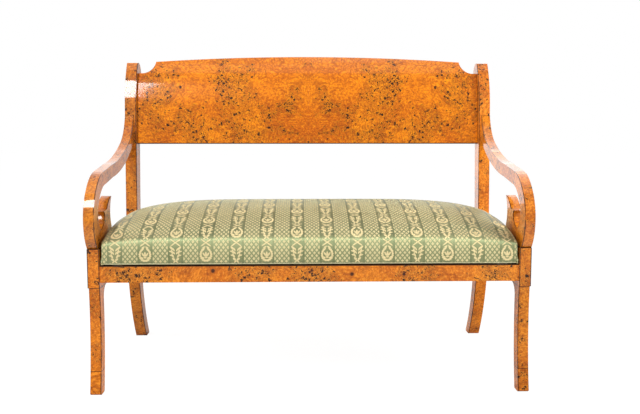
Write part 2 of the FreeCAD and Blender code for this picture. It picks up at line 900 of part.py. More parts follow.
def seat_webbing():
    inner = member / 2
    x = (inner - frame_half, frame_half - inner)
    y = (frame_front + inner, frame_back - inner)
    low = (frame_top, frame_top + webbing_thickness)
    high = (frame_top + webbing_thickness, hessian_bottom)
    long_straps = [box(x, strap, low) for strap in strap_limits(STRAP_COUNT_LENGTHWISE, *y)]
    cross_straps = [box(strap, y, high) for strap in strap_limits(STRAP_COUNT_ACROSS, *x)]
    finish(group(long_straps), "seat_webbing_long")
    finish(group(cross_straps), "seat_webbing_cross")
    inset = member / 4
    finish(
        box(
            (inset - frame_half, frame_half - inset),
            (frame_front + inset, frame_back - inset),
            (hessian_bottom, stuffing_bottom),
        ),
        "seat_hessian",
    )


for name, side in SIDES.items():
    front_leg(name, side)
    rear_post(name, side)
    arm(name, side)
    side_rail(name, side)
    corner_block(f"{name}_front_corner_block", side, front_rail_back, 1)
    corner_block(f"{name}_back_corner_block", side, post_front, -1)
front_rail()
back_rail()
center_brace()
cleats()
back_panel()
dowels()
seat_cover()
seat_stuffing()
seat_frame()
seat_webbing()
doc.recompute()

for thing in doc.Objects:
    if "Invalid" in thing.State or "Error" in thing.State:
        raise RuntimeError(f"{thing.Name} ({thing.Label}) failed: {thing.State}")
for piece in pieces:
    if piece.Shape.isNull() or not piece.Shape.isValid():
        raise RuntimeError(f"{piece.Label} has no valid shape")

os.makedirs("parts", exist_ok=True)
for piece in pieces:
    piece.Shape.exportStep(f"parts/{piece.Label}.step")
    print(f"{piece.Label}: {len(piece.Shape.Solids)} solids, {piece.Shape.Volume / 1000:.1f} cm3")
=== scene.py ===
"""Looks of the sofa: polished birch burl, a striped seat cover, plain inner wood and jute, on white."""

import math

import bmesh
import bpy
from mathutils import Matrix, Vector


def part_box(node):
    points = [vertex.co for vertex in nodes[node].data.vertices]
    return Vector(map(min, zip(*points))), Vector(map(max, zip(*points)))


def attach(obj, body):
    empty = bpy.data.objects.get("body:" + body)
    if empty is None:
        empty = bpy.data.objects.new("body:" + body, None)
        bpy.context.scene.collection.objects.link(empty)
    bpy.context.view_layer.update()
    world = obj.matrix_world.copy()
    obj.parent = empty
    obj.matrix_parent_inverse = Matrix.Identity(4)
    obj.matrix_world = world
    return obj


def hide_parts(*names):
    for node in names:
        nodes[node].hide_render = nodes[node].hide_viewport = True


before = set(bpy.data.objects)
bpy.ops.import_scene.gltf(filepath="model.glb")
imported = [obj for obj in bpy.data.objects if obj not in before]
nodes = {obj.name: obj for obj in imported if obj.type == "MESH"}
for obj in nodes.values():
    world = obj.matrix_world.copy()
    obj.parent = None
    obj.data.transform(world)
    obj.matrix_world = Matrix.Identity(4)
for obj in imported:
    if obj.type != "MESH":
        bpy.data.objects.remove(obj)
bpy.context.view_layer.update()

# Camera of the photograph, in metres and degrees
CAMERA_PLACE = (-0.029, -2.4087, 0.7078)
CAMERA_PITCH = 84.37
CAMERA_YAW = -1.46
CAMERA_LENS = 45
CAMERA_SENSOR = 36

WHITE = (1, 1, 1, 1)
LEFT = -1
RIGHT = 1


# Shader arithmetic


class Wire:
    """One number in a shader tree. Arithmetic on it adds Math nodes."""

    def __init__(self, tree, source):
        self.tree = tree
        self.source = source

    def math(self, operation, *others):
        node = self.tree.nodes.new("ShaderNodeMath")
        node.operation = operation
        for socket, value in zip(node.inputs, (self, *others)):
            connect(self.tree, value, socket)
        return Wire(self.tree, node.outputs[0])

    def __add__(self, other):
        return self.math("ADD", other)

    def __sub__(self, other):
        return self.math("SUBTRACT", other)

    def __mul__(self, other):
        return self.math("MULTIPLY", other)

    def __truediv__(self, other):
        return self.math("DIVIDE", other)

    def most(self, other):
        return self.math("MAXIMUM", other)

    def size(self):
        return self.math("ABSOLUTE")

    def part(self):
        """The part after the point, from 0 to 1."""
        return self.math("FRACT")

    def step(self, low, high):
        """Smooth step from 0 at low to 1 at high; low may be the larger."""
        node = self.tree.nodes.new("ShaderNodeMapRange")
        node.interpolation_type = "SMOOTHSTEP"
        connect(self.tree, self, node.inputs["Value"])
        falling = low > high
        node.inputs["From Min"].default_value = min(low, high)
        node.inputs["From Max"].default_value = max(low, high)
        node.inputs["To Min"].default_value = 1 if falling else 0
        node.inputs["To Max"].default_value = 0 if falling else 1
        return Wire(self.tree, node.outputs["Result"])


def hypotenuse(first, second):
    return (first * first + second * second).math("SQRT")


def connect(tree, value, socket):
    """Links a wire to a socket, or sets the socket to a plain value."""
    if isinstance(value, Wire):
        tree.links.new(value.source, socket)
    else:
        socket.default_value = value


# Colour sockets of a Mix node, which share their names with other sockets
MIX_FACTOR = 0
MIX_FIRST = 6
MIX_SECOND = 7
MIX_RESULT = 2


class Shader:
    """A material under construction, with its Principled shader."""

    def __init__(self, name):
        self.material = bpy.data.materials.new(name)
        self.material.use_nodes = True
        self.tree = self.material.node_tree
        self.surface = self.tree.nodes["Principled BSDF"]

    def set(self, **values):
        for name, value in values.items():
            connect(self.tree, value, self.surface.inputs[name.replace("_", " ")])

    def node(self, kind, output, **values):
        node = self.tree.nodes.new(kind)
        for name, value in values.items():
            connect(self.tree, value, node.inputs[name.replace("_", " ")])
        return Wire(self.tree, node.outputs[output])

    def position(self):
        return self.node("ShaderNodeTexCoord", "Object")

    def uv(self):
        return self.node("ShaderNodeTexCoord", "UV")

    def split(self, vector):
        node = self.tree.nodes.new("ShaderNodeSeparateXYZ")
        connect(self.tree, vector, node.inputs[0])
        return [Wire(self.tree, output) for output in node.outputs]

    def vector(self, x, y, z=0.0):
        return self.node("ShaderNodeCombineXYZ", "Vector", X=x, Y=y, Z=z)

    def stretch(self, vector, scale):
        node = self.tree.nodes.new("ShaderNodeMapping")
        connect(self.tree, vector, node.inputs["Vector"])
        node.inputs["Scale"].default_value = scale
        return Wire(self.tree, node.outputs["Vector"])

    def noise(self, vector, scale, detail=3.0, roughness=0.5, distortion=0.0, output="Factor"):
        node = self.tree.nodes.new("ShaderNodeTexNoise")
        connect(self.tree, vector, node.inputs["Vector"])
        node.inputs["Scale"].default_value = scale
        node.inputs["Detail"].default_value = detail
        node.inputs["Roughness"].default_value = roughness
        node.inputs["Distortion"].default_value = distortion
        return Wire(self.tree, node.outputs[0 if output == "Factor" else 1])

    def cells(self, vector, scale):
        """Distance to the nearest of scattered points, and a random number for each point."""
        node = self.tree.nodes.new("ShaderNodeTexVoronoi")
        connect(self.tree, vector, node.inputs["Vector"])
        node.inputs["Scale"].default_value = scale
        split = self.tree.nodes.new("ShaderNodeSeparateColor")
        self.tree.links.new(node.outputs["Color"], split.inputs[0])
        return Wire(self.tree, node.outputs["Distance"]), Wire(self.tree, split.outputs[0])

    def shifted(self, vector, offset, amount):
        """Vector moved by a colour or vector offset times an amount."""
        scale = self.tree.nodes.new("ShaderNodeVectorMath")
        scale.operation = "SCALE"
        connect(self.tree, offset, scale.inputs[0])
        scale.inputs["Scale"].default_value = amount
        add = self.tree.nodes.new("ShaderNodeVectorMath")
        add.operation = "ADD"
        connect(self.tree, vector, add.inputs[0])
        self.tree.links.new(scale.outputs[0], add.inputs[1])
        return Wire(self.tree, add.outputs[0])

    def mix(self, factor, first, second):
        node = self.tree.nodes.new("ShaderNodeMix")
        node.data_type = "RGBA"
        connect(self.tree, factor, node.inputs[MIX_FACTOR])
        connect(self.tree, first, node.inputs[MIX_FIRST])
        connect(self.tree, second, node.inputs[MIX_SECOND])
        return Wire(self.tree, node.outputs[MIX_RESULT])

    def bump(self, height, distance, strength=1.0, rounding=0.0):
        """Relief on the surface, with arrises eased by a rounding radius."""
        node = self.tree.nodes.new("ShaderNodeBump")
        if rounding:
            eased = self.tree.nodes.new("ShaderNodeBevel")
            eased.inputs["Radius"].default_value = rounding
            self.tree.links.new(eased.outputs["Normal"], node.inputs["Normal"])
        connect(self.tree, height, node.inputs["Height"])
        node.inputs["Distance"].default_value = distance
        node.inputs["Strength"].default_value = strength
        self.tree.links.new(node.outputs["Normal"], self.surface.inputs["Normal"])


def linear(red, green, blue):
    """Colour given as display values from 0 to 255."""
    def channel(value):
        value = value / 255
        return value / 12.92 if value <= 0.04045 else ((value + 0.055) / 1.055) ** 2.4
    return (channel(red), channel(green), channel(blue), 1)


# Materials

# Clusters of burr eyes: distance to the right of the middle, height, half width, half height, strength.
# Those of a leaf of the tablet are the same on both sides of the middle.
LEAF_CLUSTERS = (
    (0.486, 0.824, 0.036, 0.072, 1.15),
    (0.250, 0.853, 0.040, 0.072, 1.1),
    (0.355, 0.703, 0.062, 0.054, 1.15),
    (0.185, 0.676, 0.060, 0.026, 1.25),
    (0.073, 0.775, 0.044, 0.032, 0.9),
    (0.000, 0.880, 0.034, 0.026, 0.5),
    (0.545, 0.745, 0.022, 0.034, 0.9),
    (0.130, 0.735, 0.030, 0.030, 0.8),
    (0.200, 0.755, 0.110, 0.075, 0.6),
    (0.110, 0.690, 0.090, 0.030, 0.6),
)
RAIL_CLUSTERS = (
    (-0.451, 0.320, 0.070, 0.060, 0.95),
    (-0.158, 0.320, 0.038, 0.060, 1.0),
    (0.013, 0.320, 0.055, 0.060, 1.05),
    (0.274, 0.320, 0.040, 0.060, 1.05),
    (0.488, 0.320, 0.045, 0.060, 1.05),
)
# Knots of the front rail: distance to the right of the middle, share of the height above it, radius
RAIL_KNOTS = (
    (-0.2595, 0.30, 0.0055),
    (0.0025, 0.28, 0.0040),
    (0.110, 0.53, 0.0052),
    (0.249, 0.56, 0.0040),
)
# How far noise moves the outline of a cluster and of an eye, in metres
CLUSTER_WANDER = 0.16
EYE_WANDER = 0.022
# Eyes and specks along a metre
EYE_DENSITY = 122
SPECK_DENSITY = 290

# Display values of the wood: light, deep, brown and bright
LEAF_TONES = ((219, 124, 8), (190, 94, 3), (126, 55, 4), (234, 148, 16))
FRAME_TONES = ((220, 130, 28), (188, 94, 11), (130, 61, 11), (232, 152, 50))
DARK_EYE = (34, 13, 7)
EYE_HALO = (162, 78, 14)
# Colour of the dark lines: the seams, the lines along arrises, and the painted shade along a leaf's
# edges, above the front rail and under a block's step
DARK_LINE = (46, 20, 10)
# Tones of the leg, post and arm on each side, which differ a little in the photograph
SIDE_TONES = (("left", 1.0, 0.90, 0.92), ("right", 0.93, 1.05, 0.98))

# Lower edge and outer end of a leaf, and the width of the painted shade line along them
LEAF_FOOT = 0.6595
LEAF_END = 0.5522
LEAF_LINE = 0.0015
# Heights of the seams low on a front leg and below its block; the line below the block is both a seam
# and painted shade under the block's step
LEG_SEAM = 0.062
BLOCK_FOOT = 0.286
# Heights between which the polish of the frame goes from thin to full
POLISH_THIN = 0.24
POLISH_FULL = 0.40
# Depth below the top of an arm's root that has lost its polish, and the height over which it fades
DULL_DEPTH = 0.022
DULL_FADE = 0.003
# Radius of the eased arrises
ARRIS = 0.0014


def burr_strength(x, z, clusters):
    """Strength of the burr at a place, from about 1 in the middle of a cluster down to below 0."""
    strongest = None
    for middle, height, half_width, half_height, strength in clusters:
        away = hypotenuse((x - middle) / half_width, (z - height) / half_height)
        share = away * -0.8 + strength
        strongest = share if strongest is None else strongest.most(share)
    return strongest


def burr_gathering(shader, place, scatter, clusters, burr):
    """How densely the eyes stand: the larger, the more of them."""
    if not clusters:
        return (scatter - 0.5) * 3 + burr
    wander = shader.shifted(place, shader.noise(place, 13, detail=3, output="Color"), CLUSTER_WANDER)
    wander_x, _, wander_z = shader.split(wander)
    half = CLUSTER_WANDER / 2
    return burr_strength(wander_x - half, wander_z - half, clusters) + (scatter - 0.5) * 2.2


def burl_figure(shader, turned, cloud, scatter, tones):
    """Colour of the swirling figure without its eyes, and the fine mottle in it."""
    light, deep, brown, bright = tones
    flame = shader.noise(shader.stretch(turned, (1, 1, 3)), 34, detail=5, roughness=0.62, distortion=1.6)
    mottle = shader.noise(turned, 150, detail=4, roughness=0.7)
    curl = (shader.noise(turned, 9, detail=3, roughness=0.5) * 85).math("SINE")
    colour = shader.mix(cloud.step(0.28, 0.74), light, deep)
    colour = shader.mix(flame.step(0.46, 0.7) * 0.6, colour, brown)
    colour = shader.mix(flame.step(0.46, 0.28) * 0.35, colour, bright)
    colour = shader.mix(mottle.step(0.46, 0.62) * 0.5, colour, brown)
    colour = shader.mix(mottle.step(0.48, 0.36) * 0.45, colour, bright)
    colour = shader.mix(curl.step(0.3, 1.0) * scatter.step(0.42, 0.6) * 0.36, colour, brown)
    return colour, mottle


def another_chance(chance):
    """A second random number, made from the first."""
    return (chance * 7.3).part()


def with_eyes(shader, colour, place, gathering, bright):
    """Colour with the burr's eyes, specks and flecks, and the mask of the eyes."""
    ragged = shader.shifted(place, shader.noise(place, 150, detail=3, output="Color"), EYE_WANDER)
    distance, chance = shader.cells(ragged, EYE_DENSITY)
    reach = distance / (chance * chance * 1.2 + 0.42)
    present = (gathering + 0.22 - another_chance(chance) * 0.95).step(-0.02, 0.08)
    eye = reach.step(0.5, 0.3) * present * chance.step(0.08, 0.16)
    halo = distance.step(0.8, 0.25) * gathering.step(0.0, 0.4)
    rim = reach.step(0.95, 0.6) * present
    small_distance, small_chance = shader.cells(ragged, SPECK_DENSITY)
    sprinkled = (gathering + 0.4 - another_chance(small_chance) * 1.1).step(-0.02, 0.08)
    speck = small_distance.step(0.5, 0.2) * small_chance.step(0.4, 0.55) * sprinkled
    fleck = shader.noise(shader.stretch(ragged, (1, 1, 1.5)), 330, detail=3, roughness=0.7)
    fleck = fleck.step(0.52, 0.59) * gathering.step(-0.1, 0.45)
    colour = shader.mix(halo * 0.25, colour, linear(*EYE_HALO))
    colour = shader.mix(rim * 0.35, colour, bright)
    dark = (speck * 0.7).most(eye * 0.97).most(fleck * 0.6)
    return shader.mix(dark, colour, linear(*DARK_EYE)), eye


def with_knot(shader, colour, away, brown):
    """Colour with a dark knot in a brown halo; away is the distance from its middle in radii."""
    colour = shader.mix(away.step(2.2, 0.9) * 0.5, colour, brown)
    return shader.mix(away.step(1.2, 0.7) * 0.85, colour, linear(*DARK_EYE))


def dark_arris_lines(shader, place, x, edges):
    """Masks of the dark, broken lines along the arrises of a front face."""
    normal_x = shader.split(shader.node("ShaderNodeNewGeometry", "Normal"))[0]
    patchy = shader.noise(place, 45, detail=2).step(0.2, 0.5) * normal_x.size().step(0.8, 0.5)
    return [(x.size() - edge).size().step(0.0034, 0.0016) * patchy for edge in edges]


def burl_wood(name, leaf=False, seam_heights=(), burr=0.0, ledge=None, edges=(), dull=None,
              tone=1.0, clusters=(), knots=()):
    """French-polished birch burl: clusters of dark eyes in swirling amber figure.

    A leaf of the tablet has the same figure on both sides of the middle. Eyes gather in the clusters
    where some are given, and a larger burr gives more eyes elsewhere. Knots are given by distance to
    the right of the middle, height and radius. The wood is dark at the seams, and in broken lines along
    the arrises of a front face at the edges, which are distances from the middle. Painted shade darkens
    the wood above a ledge's height, for the gap under the seat, and along a leaf's lower edge and outer
    end.
    The frame's polish is thin below the seat and gone above dull. A smaller tone makes the wood darker.
    """
    shader = Shader(name)
    place = shader.position()
    x, y, z = shader.split(place)
    if leaf:
        x = x.size()
        place = shader.vector(x, y * 0.1, z)
    swirl = shader.noise(place, 6, detail=2, output="Color")
    turned = shader.shifted(place, swirl, 0.12)
    scatter = shader.noise(turned, 16, detail=3)
    cloud = shader.noise(turned, 8, detail=4)
    if leaf:
        cloud = cloud + x.step(0.20, 0.02) * z.step(0.82, 0.72) * 0.36
    display_tones = LEAF_TONES if leaf else FRAME_TONES
    tones = [linear(*[tone * value for value in display]) for display in display_tones]
    brown, bright = tones[2:]
    colour, mottle = burl_figure(shader, turned, cloud, scatter, tones)
    gathering = burr_gathering(shader, place, scatter, clusters, burr)
    colour, eye = with_eyes(shader, colour, place, gathering, bright)
    for knot_x, knot_z, radius in knots:
        away = hypotenuse((x - knot_x) / radius, (z - knot_z) / radius) + (mottle - 0.5) * 1.2
        colour = with_knot(shader, colour, away, brown)

    dark_lines = [(z - height).size().step(0.0013, 0.0005) for height in seam_heights]
    # Painted shade: dark lines along a leaf's lower edge and outer end, in the gaps next to the frame
    if leaf:
        dark_lines.append(z.step(LEAF_FOOT + LEAF_LINE, LEAF_FOOT))
        dark_lines.append(x.step(LEAF_END, LEAF_END + LEAF_LINE))
    # Painted shade: the top of a ledge and of the face just below it are darkened to stand for the
    # shadow in the gap under the seat
    if ledge:
        dark_lines.append(z.step(ledge - 0.0016, ledge - 0.0010))
    if edges:
        dark_lines += dark_arris_lines(shader, place, x, edges)
    for line in dark_lines:
        colour = shader.mix(line * 0.92, colour, linear(*DARK_LINE))

    grain = shader.noise(shader.stretch(turned, (1, 1, 6)), 120, detail=3)
    shader.set(Base_Color=colour, Roughness=grain * 0.14 + 0.3, Specular_IOR_Level=0.1)
    if leaf:
        shader.set(Coat_Weight=1.0, Coat_Roughness=0.1, Coat_IOR=1.27)
    else:
        polish = z.step(POLISH_THIN, POLISH_FULL) * 0.7 + 0.3
        if dull:
            polish = polish * z.step(dull, dull - DULL_FADE)
        shader.set(Coat_Weight=polish, Coat_Roughness=0.06, Coat_IOR=1.36)
    shader.bump(grain * 0.4 - eye, 0.0003, 0.2, ARRIS)
    return shader.material


# Density of the grain of plain wood, across it and along it
GRAIN_ACROSS = 26.0
GRAIN_ALONG = 1.6


def plain_wood(name, light, dark, along, roughness):
    """Straight-grained softwood with its grain along one axis."""
    shader = Shader(name)
    place = shader.position()
    scale = [GRAIN_ALONG if axis == along else GRAIN_ACROSS for axis in "xyz"]
    rings = shader.noise(shader.stretch(place, scale), 3.2, detail=6, roughness=0.62, distortion=0.6)
    pores = shader.noise(shader.stretch(place, [share * 6 for share in scale]), 4, detail=2)
    colour = shader.mix(rings.step(0.3, 0.7), light, dark)
    colour = shader.mix(pores.step(0.6, 0.75) * 0.35, colour, dark)
    shader.set(Base_Color=colour, Roughness=pores * 0.2 + roughness)
    shader.bump(rings + pores, 0.0005, 0.3, ARRIS)
    return shader.material


# Layout of the woven stripes, in metres on the cloth
STRIPE_REPEAT = 0.0803
STRIPE_PLACE = -0.0365
LATTICE_WIDTH = 0.0400
DIAMOND_WIDTH = 0.0123
DIAMOND_HEIGHT = 0.0158
SATIN_BORDER = 0.0055
FOLD_HIGHLIGHT_HEIGHT = 0.0036
WARP_PITCH = 0.0008
WEFT_PITCH = 0.0010
ORNAMENT_PERIOD = 0.132
ORNAMENT_PLACE = 0.0275

# Display values of the threads and of their sheen, and of the painted highlight on the fold at the
# cover's lower edge
SAGE = (96, 97, 67)
SAGE_BORDER = (84, 86, 58)
SAGE_LATTICE = (101, 104, 73)
SAGE_FADED = (132, 128, 95)
CREAM = (214, 191, 145)
CREAM_SHADE = (192, 169, 124)
FOLD_HIGHLIGHT = (232, 228, 184)
SATIN_TINT = (214, 236, 180)
SHEEN_TINT = (206, 226, 190)

# Leaves of the woven figures, which are the same on both sides of a stripe's middle:
# distance from the middle, place along the stripe, half length, half width, turn in degrees
TULIP_LEAVES = (
    (0, 0.0016, 0.0026, 0.0074, 0),
    (0.0050, 0.0006, 0.0068, 0.0024, 60),
    (0, -0.0080, 0.0042, 0.0027, 0),
    (0.0080, -0.0086, 0.0042, 0.0018, 34),
    (0.0050, 0.0205, 0.0050, 0.0019, 150),
)
LYRE_LEAVES = (
    (0.0104, 0.0185, 0.0064, 0.0027, 42),
    (0.0046, 0.0145, 0.0046, 0.0019, 62),
    (0.0090, 0.0085, 0.0064, 0.0027, 70),
    (0.0136, 0.0095, 0.0038, 0.0018, 20),
    (0.0038, 0.0052, 0.0044, 0.0019, 66),
    (0.0074, -0.0030, 0.0066, 0.0026, 62),
    (0.0122, -0.0018, 0.0038, 0.0018, 24),
    (0.0052, -0.0130, 0.0054, 0.0031, 44),
    (0.0034, -0.0205, 0.0050, 0.0020, -48),
)
SPRIG_LEAVES = (
    (0.0068, 0.0048, 0.0084, 0.0018, 36),
    (0, 0, 0.0028, 0.0026, 0),
)
# Half width and half height of the wreath, half length and half width of its leaves, and their slant
WREATH_RADII = (0.0138, 0.0174)
WREATH_LEAF = (0.0052, 0.0024)
WREATH_SLANT = 62


def woven_leaf(x, y, middle_x, middle_y, half_length, half_width, turn):
    """Mask of one leaf: x is the distance from a stripe's middle, y runs along it."""
    dx = x - middle_x
    dy = y - middle_y
    cosine = math.cos(math.radians(turn))
    sine = math.sin(math.radians(turn))
    along = (dx * cosine + dy * sine) / half_length
    across = (dy * cosine - dx * sine) / half_width
    return hypotenuse(along, across).step(1.15, 0.75)


def wreath(x, y):
    """Masks of a wreath of leaves, open at the top."""
    leaves = []
    for turn in range(-84, 70, 21):
        angle = math.radians(turn)
        middle = (WREATH_RADII[0] * math.cos(angle), WREATH_RADII[1] * math.sin(angle))
        leaves.append(woven_leaf(x, y, *middle, *WREATH_LEAF, turn + WREATH_SLANT))
    return leaves


def woven_leaves(x, y, rows):
    return [woven_leaf(x, y, *row) for row in rows]


def stripe_figure(x, run):
    """Mask of the chain: wreaths with a tulip and leaf lyres take turns, with crossed sprigs between."""
    half = ORNAMENT_PERIOD / 2
    cycle = (run / ORNAMENT_PERIOD).part() * ORNAMENT_PERIOD
    wreath_y = cycle - half / 2
    shapes = wreath(x, wreath_y)
    shapes += woven_leaves(x, wreath_y, TULIP_LEAVES)
    shapes += woven_leaves(x, cycle - half * 1.5, LYRE_LEAVES)
    joint = ((run / half).part() - 0.5).size() * -half + half / 2
    shapes += woven_leaves(x, joint, SPRIG_LEAVES)
    figure = shapes[0]
    for shape in shapes[1:]:
        figure = figure.most(shape)
    return figure


def striped_fabric():
    """Sage satin with stripes of small cream diamonds between chains of wreaths and leaf lyres."""
    shader = Shader("striped_fabric")
    u, v, _ = shader.split(shader.uv())
    turn = (u - STRIPE_PLACE) / STRIPE_REPEAT + 0.5
    x = ((turn.part() - 0.5) * STRIPE_REPEAT).size()
    edge = (STRIPE_REPEAT - LATTICE_WIDTH) / 2
    lattice_band = x.step(edge - 0.0004, edge + 0.0004)
    satin_edge = x.step(edge - SATIN_BORDER - 0.001, edge - SATIN_BORDER)
    across = ((x - STRIPE_REPEAT / 2) / DIAMOND_WIDTH + 0.5).part()
    along = (v / DIAMOND_HEIGHT).part()
    diamond = (across - 0.5).size() * 2 + (along - 0.5).size() * 2
    lattice = (diamond - 1).size().step(0.24, 0.5) * lattice_band

    every_other = ((turn * 0.5).part() - 0.5).step(-0.0001, 0.0001)
    run = v - ORNAMENT_PLACE + (every_other * 0.5 + 0.75) * ORNAMENT_PERIOD
    figure = stripe_figure(x, run) * x.step(edge - 0.001, edge - 0.002)

    cream_mask = (figure * 0.95).most(lattice * 0.75)
    thread = shader.noise(shader.vector(u * 1800, v * 260), 1, detail=2)
    fade = shader.noise(shader.vector(u, v), 9, detail=2)
    # Painted highlight: a pale band along the fold at the cover's lower edge
    fold_highlight = v.size().step(FOLD_HIGHLIGHT_HEIGHT, FOLD_HIGHLIGHT_HEIGHT * 0.6)
    ground = shader.mix(satin_edge, linear(*SAGE), linear(*SAGE_BORDER))
    ground = shader.mix(lattice_band, ground, linear(*SAGE_LATTICE))
    ground = shader.mix(fade.step(0.35, 0.7) * 0.35, ground, linear(*SAGE_FADED))
    cream = shader.mix(thread.step(0.35, 0.7), linear(*CREAM), linear(*CREAM_SHADE))
    colour = shader.mix(cream_mask * 0.85, ground, cream)
    colour = shader.mix(fold_highlight * 0.7, colour, linear(*FOLD_HIGHLIGHT))
    weave = (u * (math.tau / WARP_PITCH)).math("SINE") * (v * (math.tau / WEFT_PITCH)).math("SINE")
    shader.set(Base_Color=colour, Roughness=cream_mask * 0.45 + 0.42)
    shader.set(Specular_IOR_Level=0.8, Specular_Tint=linear(*SATIN_TINT))
    shader.set(Sheen_Weight=0.06, Sheen_Roughness=0.35, Sheen_Tint=linear(*SHEEN_TINT))
    shader.bump(weave * 0.15 + cream_mask + thread * 0.3, 0.0001)
    return shader.material


def woven_jute(name, light, dark, pitch):
    """Plain weave of coarse threads."""
    shader = Shader(name)
    x, y, _ = shader.split(shader.position())
    warp = (x * (math.tau / pitch)).math("SINE")
    weft = (y * (math.tau / pitch)).math("SINE")
    over = warp * weft
    slub = shader.noise(shader.position(), 220, detail=3)
    colour = shader.mix(over.step(-0.8, 0.8), dark, light)
    colour = shader.mix(slub.step(0.45, 0.7) * 0.4, colour, dark)
    shader.set(Base_Color=colour, Roughness=slub * 0.1 + 0.85)
    shader.bump(over + slub, 0.0008, 0.7)
    return shader.material


# Pieces

SIDES = ("left", "right")
POLISHED = [
    f"{side}_{part}"
    for side in SIDES
    for part in ("front_leg", "rear_post", "arm", "veneer_leaf")
]
WEBBING_PITCH = 0.004
HESSIAN_PITCH = 0.0026


def dress(names, material):
    """Gives the named nodes a material."""
    for name in names:
        slots = nodes[name].data.materials
        slots.clear()
        slots.append(material)


def across(name):
    """Distances of a right-hand node's two sides from the middle of the sofa."""
    low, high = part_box(name)
    return (low.x, high.x)


def dress_burl():
    """Burl on the legs, posts, arms, rails and leaves."""
    arm_foot, arm_root = (corner.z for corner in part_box("right_arm"))
    leg_look = {"seam_heights": (LEG_SEAM, BLOCK_FOOT, arm_foot), "burr": 0.05}
    leg_look["edges"] = across("right_front_leg")
    post_look = {"burr": 0.05, "edges": across("right_rear_post")[:1]}
    arm_look = {"seam_heights": (arm_foot, arm_root), "burr": -0.05}
    arm_look["edges"] = across("right_arm")[:1]
    arm_look["dull"] = arm_root - DULL_DEPTH
    for side, leg_tone, post_tone, arm_tone in SIDE_TONES:
        leg = burl_wood(f"burl_{side}_leg", tone=leg_tone, **leg_look)
        post = burl_wood(f"burl_{side}_post", tone=post_tone, **post_look)
        arm = burl_wood(f"burl_{side}_arm", tone=arm_tone, **arm_look)
        dress([f"{side}_front_leg"], leg)
        dress([f"{side}_rear_post"], post)
        dress([f"{side}_arm"], arm)
    dress(["left_side_rail", "right_side_rail"], burl_wood("burl_rail"))
    rail_foot, rail_top = (corner.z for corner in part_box("front_rail"))
    rail_height = rail_top - rail_foot
    knots = [(x, rail_top - share * rail_height, radius) for x, share, radius in RAIL_KNOTS]
    # The rail is darkened above its top edge as painted shade of the gap under the seat
    front_rail = burl_wood("burl_front_rail", ledge=rail_top, clusters=RAIL_CLUSTERS, knots=knots)
    dress(["front_rail"], front_rail)
    leaf = burl_wood("burl_leaf", leaf=True, clusters=LEAF_CLUSTERS)
    dress(["left_veneer_leaf", "right_veneer_leaf"], leaf)


def dress_inside():
    """Plain wood on the back and the inner pieces, jute below the seat."""
    back = plain_wood("back_wood", linear(194, 126, 62), linear(154, 90, 40), "x", 0.45)
    dress(["back_panel", "back_rail"], back)
    pale = (linear(206, 168, 116), linear(168, 126, 78))
    lengthwise = plain_wood("inner_wood_x", *pale, "x", 0.6)
    dress(["front_cleat", "back_cleat", "seat_frame_front", "seat_frame_back"], lengthwise)
    crosswise = plain_wood("inner_wood_y", *pale, "y", 0.6)
    dress(["left_cleat", "right_cleat", "center_brace"], crosswise)
    dress(["seat_frame_left", "seat_frame_right", "seat_frame_brace"], crosswise)
    upright = plain_wood("inner_wood_z", *pale, "z", 0.6)
    corners = [f"{side}_{end}_corner_block" for side in SIDES for end in ("front", "back")]
    dress(corners + ["arm_foot_dowels", "arm_root_dowels", "panel_dowels"], upright)
    jute = woven_jute("jute_webbing", linear(176, 150, 104), linear(124, 98, 62), WEBBING_PITCH)
    dress(["seat_webbing_long", "seat_webbing_cross"], jute)
    hessian = woven_jute("hessian", linear(186, 160, 116), linear(134, 108, 70), HESSIAN_PITCH)
    dress(["seat_hessian"], hessian)


# Form of the seat, in metres, in the frame's own place

COVER_LOW, COVER_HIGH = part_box("seat_cover")
CROWN_POWER = 5
CROWN_SOFTNESS = 0.6
HEM_WIDTH = 0.032
SEAT_TUCK = 0.003
# Heights above the cover's foot: at the ends of the seat, and what is added at its middle
HEIGHTS = {
    "border": (0.054, 0.008),
    "front_edge": (0.062, 0.018),
    "rear_edge": (0.058, 0.072),
    "rear_border": (0.056, 0.048),
}
BORDER_RADIUS = 0.150
FRONT_ROLL_DEPTH = 0.012
FRONT_ROLL_RADIUS = 0.022
REAR_ROLL_DEPTH = 0.045
REAR_ROLL_RADIUS = 0.060
CROWN_RADIUS = 0.709
# Points on the parts of the section
BORDER_POINTS = 8
ROLL_POINTS = 10
CROWN_POINTS = 44


def arc(start, end, radius, count):
    """Points after start on an arc that bulges to the left of the way from start to end."""
    start = Vector(start)
    end = Vector(end)
    chord = end - start
    middle = (start + end) / 2
    outward = Vector((-chord.y, chord.x)).normalized()
    center = middle - outward * math.sqrt(radius * radius - (chord.length / 2) ** 2)
    first = start - center
    last = end - center
    sweep = first.angle_signed(last)
    points = []
    for index in range(1, count + 1):
        turned = first.copy()
        turned.rotate(Matrix.Rotation(-sweep * index / count, 2))
        points.append(center + turned)
    return points


